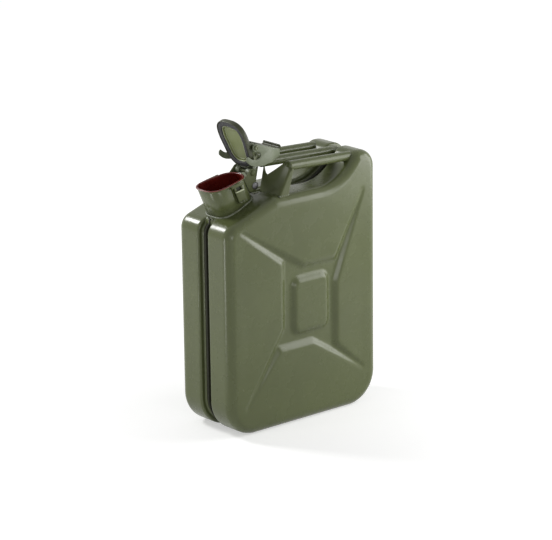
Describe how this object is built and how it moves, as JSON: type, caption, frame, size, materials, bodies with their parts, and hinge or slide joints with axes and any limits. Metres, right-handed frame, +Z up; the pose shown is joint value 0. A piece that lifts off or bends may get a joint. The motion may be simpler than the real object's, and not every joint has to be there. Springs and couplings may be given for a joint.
{
  "type": "metal jerry can",
  "caption": "Olive-painted steel jerry can with cross-pressed sides, a leaning spout with an open hinged cap and cam lever, and tube carrying handles.",
  "frame": {"origin": "middle of the footprint, on the surface that the can stands on", "axes": "+Z up, +X along the length from the spout end to the rear hump, +Y across the width from the near wide face to the far one"},
  "size_m": [0.345, 0.15, 0.5542],
  "materials": {
    "olive_paint": "satin olive enamel",
    "sage_paint": "satin sage enamel",
    "plate_lacquer": "satin olive lacquer",
    "zinc": "dull zinc plate",
    "gasket_rubber": "matt black rubber"
  },
  "bodies": {
    "can": {"near_shell": "olive_paint", "far_shell": "olive_paint", "seam_weld": "olive_paint", "spout_neck": "olive_paint", "spout_collar": "olive_paint", "vent_tube": "zinc", "hinge_pin": "zinc", "hinge_rivet": "zinc", "near_handle": "olive_paint", "centre_handle": "olive_paint", "far_handle": "olive_paint", "near_handle_bracket": "olive_paint", "far_handle_bracket": "olive_paint", "near_hinge_arm": "zinc", "far_hinge_arm": "zinc", "near_catch_lug": "olive_paint", "far_catch_lug": "olive_paint"},
    "cap": {"cap_shell": "olive_paint", "cap_gasket": "gasket_rubber", "cap_inner_plate": "plate_lacquer", "cap_hinge_strap": "sage_paint", "near_cap_ear": "sage_paint", "far_cap_ear": "sage_paint", "near_lever_rivet": "zinc", "far_lever_rivet": "zinc"},
    "lever": {"closure_lever": "sage_paint"}
  },
  "joints": [
    {"name": "cap_hinge", "type": "hinge", "parent": "can", "child": "cap", "pos_m": [-0.0754, 0, 0.4585], "axis": [0, -1, 0], "range_deg": [0, 78]},
    {"name": "lever_pivot", "type": "hinge", "parent": "cap", "child": "lever", "pos_m": [-0.08011, 0, 0.50686], "axis": [0, 1, 0], "range_deg": [-25, 50]}
  ]
}
